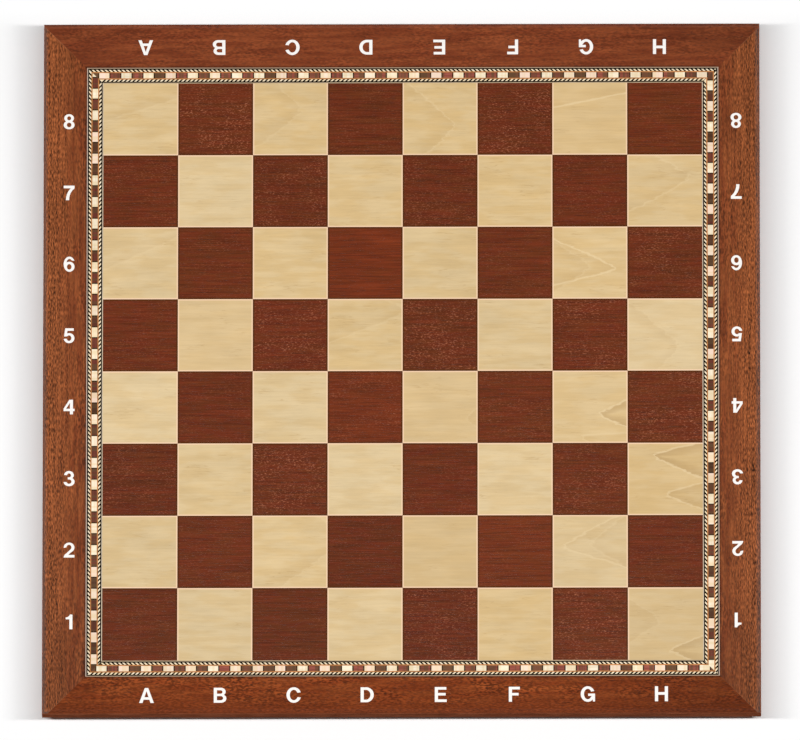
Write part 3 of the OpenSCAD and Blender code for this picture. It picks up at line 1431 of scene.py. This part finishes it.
@dataclass
class FeltPads:
    """The four felt pads under the corners. Lengths are in millimetres, and fibres are for each square one."""

    radius: float = 10.0
    thick: float = 2.0
    ease: float = 0.35
    ease_steps: int = 4
    turns: int = 48
    fibre: float = 0.35
    fibre_root: float = 0.03
    fibre_tip: float = 0.01
    fibres: float = 0.5
    bend: tuple[float, float, float] = (1.1, 1.1, 3.0)

    def disc(self) -> bpy.types.Mesh:
        """One pad with eased rims, about its own middle.

        Returns:
            Its mesh, whose faces are in a fixed order, so that the fibres fall the same way each run.
        """
        easing = [math.pi / 2 * step / self.ease_steps for step in range(self.ease_steps + 1)]
        flat = self.radius - self.ease
        lower = [(flat + self.ease * math.sin(angle), self.ease * (1 - math.cos(angle))) for angle in easing]
        upper = [(radius, self.thick - height) for radius, height in reversed(lower)]
        turns = [2 * math.pi * turn / self.turns for turn in range(self.turns)]
        verts = [(radius * MM * math.cos(turn), radius * MM * math.sin(turn), height * MM)
                 for radius, height in lower + upper for turn in turns]
        top = len(verts) - self.turns
        faces = [tuple(reversed(range(self.turns))), tuple(range(top, len(verts)))]
        for start in range(0, top, self.turns):
            for turn in range(self.turns):
                here, after = start + turn, start + (turn + 1) % self.turns
                faces.append((here, after, after + self.turns, here + self.turns))
        mesh = bpy.data.meshes.new("pad")
        mesh.from_pydata(verts, [], faces)
        return mesh

    def tree(self) -> GeometryTree:
        """The tree that gives a pad its loose fibres and sets it at the four corners.

        Returns:
            The finished tree.
        """
        kinds = {"Geometry": "Geometry", "Fibre Length": "Float", "Fibres": "Float", "Corner": "Float",
                 "Felt": "Material"}
        tree = GeometryTree("felt pads", kinds)
        rim = tree.add("GeometryNodeDistributePointsOnFaces", {"distribute_method": "RANDOM"},
                       {"Mesh": tree["Geometry"], "Density": tree["Fibres"], "Seed": 3})
        fibre = tree.add("GeometryNodeMeshCone", {"fill_type": "NGON"},
                         {"Vertices": 3, "Radius Top": self.fibre_tip * MM, "Radius Bottom": self.fibre_root * MM,
                          "Depth": tree["Fibre Length"]})
        bent = tree.add("FunctionNodeRandomValue", {"data_type": "FLOAT_VECTOR"},
                        {0: tuple(-turn for turn in self.bend), 1: self.bend, "Seed": 5})
        hairs = tree.add("GeometryNodeInstanceOnPoints", {},
                         {"Points": rim, "Instance": fibre, "Rotation": rim.beside("Rotation")})
        turned = tree.add("GeometryNodeRotateInstances", {}, {"Instances": hairs, "Rotation": bent})
        both = tree.add("GeometryNodeJoinGeometry", {}, {0: [tree["Geometry"], turned]})
        ring = tree.add("GeometryNodeMeshCircle", {"fill_type": "NONE"},
                        {"Vertices": 4, "Radius": tree["Corner"]})
        turned_ring = tree.add("GeometryNodeTransform", {}, {"Geometry": ring, "Rotation": (0.0, 0.0, math.pi / 4)})
        pads = tree.add("GeometryNodeInstanceOnPoints", {}, {"Points": turned_ring, "Instance": both})
        tree.end(pads, tree["Felt"])
        return tree

    def build(self) -> None:
        """Makes the pads in the place of their CAD node."""
        low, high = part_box("felt_pads")
        corner = (high.x - self.radius * MM) * math.sqrt(2)
        values = {"Fibre Length": self.fibre * MM, "Fibres": self.fibres / MM**2, "Corner": corner,
                  "Felt": Felt().material()}
        piece = self.tree().run("felt_pads_soft", self.disc(), values)
        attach(piece, "root")
        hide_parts("felt_pads")
        LOG.info("felt pads: %d faces", len(piece.data.polygons))


@dataclass
class Studio:
    """The floor, the lamps and the camera. Lengths are in metres."""

    distance: float = 3.0
    lamp_depth: float = 0.25
    lamps_a_side: int = 4
    lamp_step: float = 15.0
    lamp_tilt: float = 8.5
    left_power: float = 6.9
    right_power: float = 7.15
    sky: float = 0.04
    lens: float = 1500.0
    frame_width: float = 0.53357
    field_from_middle: tuple[float, float] = (0.001755, -0.000634)
    elevation: float = 74.2
    azimuth: float = 1.5
    roll: float = 1.54
    # where the floor turns plain, and where painted light washes out the shadow behind the board and makes the floor
    # paler there, in millimetres from its middle
    plain_round: tuple[float, float] = (420.0, 800.0)
    plain_behind: tuple[float, float] = (238.0, 262.0)
    pale_behind: tuple[float, float] = (236.0, 262.0)

    def floor(self) -> None:
        """A white floor that keeps the board's shadow, except behind it where painted light washes it out, and is
        plain white further out.
        """
        builder = bmesh.new()
        bmesh.ops.create_circle(builder, cap_ends=True, segments=96, radius=6.0)
        mesh = bpy.data.meshes.new("floor")
        builder.to_mesh(mesh)
        builder.free()
        floor = link("floor", mesh)
        tree = Shader("white floor")
        x, y, _ = tree.place()
        grain = tree.noise(x, y, (3.0, 3.0), 1.0, 3.0)
        # painted light: behind the board the floor turns plain white for the camera, which washes out the shadow
        # there
        far = ((x * x + y * y) ** 0.5).step(*self.plain_round).most(y.step(*self.plain_behind) * 0.85)
        # painted light: the floor is paler behind the board
        white = 0.92 + y.step(*self.pale_behind) * 0.075 + grain * 0.02
        lit = tree.add("ShaderNodeBsdfDiffuse", {}, {"Color": tree.shade((1.0, 1.0, 1.0, 1.0), white)})
        seen = tree.add("ShaderNodeLightPath", output="Is Camera Ray")
        glossy = tree.add("ShaderNodeLightPath", output="Is Glossy Ray")
        clear = tree.add("ShaderNodeLightPath", output="Is Transmission Ray")
        looked_at = seen.most(glossy).most(clear)
        glow = tree.add("ShaderNodeEmission", {}, {"Color": (1.0, 1.0, 1.0, 1.0), "Strength": 0.02})
        both = tree.add("ShaderNodeAddShader", {}, {0: lit, 1: glow})
        near = tree.add("ShaderNodeMixShader", {}, {0: looked_at, 1: lit, 2: both})
        plain = tree.add("ShaderNodeEmission", {}, {"Color": (1.0, 1.0, 1.0, 1.0), "Strength": 1.0})
        surface = tree.add("ShaderNodeMixShader", {}, {0: looked_at * far, 1: near, 2: plain})
        tree.add("ShaderNodeOutputMaterial", {}, {"Surface": surface})
        mesh.materials.append(tree.material)
        floor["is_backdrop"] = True

    def lamps(self) -> None:
        """Soft lamps on an arc over the board, from its left to its right, that leans to the front."""
        step = self.lamp_step
        lean = Matrix.Rotation(math.radians(self.lamp_tilt), 4, "X")
        for power, way in ((self.left_power, -1), (self.right_power, 1)):
            for order in range(self.lamps_a_side):
                angle = math.radians(way * step * (order + 0.5))
                lamp = bpy.data.lights.new(f"lamp_{order}", "AREA")
                lamp.shape = "RECTANGLE"
                lamp.size = 2 * self.distance * math.tan(math.radians(step / 2))
                lamp.size_y = self.lamp_depth
                lamp.energy = power / math.cos(angle) ** 3
                holder = bpy.data.objects.new(lamp.name, lamp)
                swing = Matrix.Rotation(angle, 4, "Y")
                holder.matrix_world = lean @ swing @ Matrix.Translation((0.0, 0.0, self.distance))
                holder.visible_camera = False
                bpy.context.scene.collection.objects.link(holder)

    def world(self) -> None:
        """A weak even light from all round, which the camera sees as white."""
        world = bpy.data.worlds.new("studio")
        world.use_nodes = True
        tree = NodeTree(world.node_tree)
        seen = tree.add("ShaderNodeLightPath", output="Is Camera Ray")
        weak = tree.add("ShaderNodeBackground", {}, {"Strength": self.sky})
        white = tree.add("ShaderNodeBackground", {}, {"Strength": 1.0})
        mixed = tree.add("ShaderNodeMixShader", {}, {0: seen, 1: weak, 2: white})
        tree.add("ShaderNodeOutputWorld", {}, {"Surface": mixed})
        bpy.context.scene.world = world

    def camera(self) -> None:
        """A camera far off in front, that looks down steeply as the photograph's does."""
        data = bpy.data.cameras.new("camera")
        data.lens = self.lens
        data.sensor_width = 36.0
        away = self.frame_width * self.lens / data.sensor_width
        data.clip_start, data.clip_end = 1.0, away * 3
        field = Vector((FIELD_AT[0] * MM, FIELD_AT[1] * MM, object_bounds()[1][2]))
        turn = (
            Matrix.Rotation(math.radians(self.azimuth), 4, "Z")
            @ Matrix.Rotation(math.radians(90 - self.elevation), 4, "X")
            @ Matrix.Rotation(math.radians(-self.roll), 4, "Z")
        )
        right, above = self.field_from_middle
        holder = bpy.data.objects.new("camera", data)
        holder.matrix_world = Matrix.Translation(field) @ turn @ Matrix.Translation((-right, -above, away))
        bpy.context.scene.collection.objects.link(holder)
        bpy.context.scene.camera = holder

    def build(self) -> None:
        """Sets up the whole studio."""
        self.floor()
        self.lamps()
        self.world()
        self.camera()
        bpy.context.scene.view_settings.view_transform = "Standard"
        LOG.info("studio: floor, lamps, world and camera")


def corners(box: Sequence[Iterable[float]]) -> list[list[float]]:
    """A box's two corners as plain lists."""
    return [[float(value) for value in corner] for corner in box]


def main() -> None:
    """Builds the board's looks in order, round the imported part."""
    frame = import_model()
    cad_box = corners(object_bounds())
    nodes = frame["nodes"]
    Panel(nodes).dress()
    Field(nodes).dress()
    Banding(nodes).dress()
    Frame(nodes).dress()
    FeltPads().build()
    Studio().build()
    {"cad": cad_box, "visual": corners(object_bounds())}


if __name__ == "__main__":
    main()
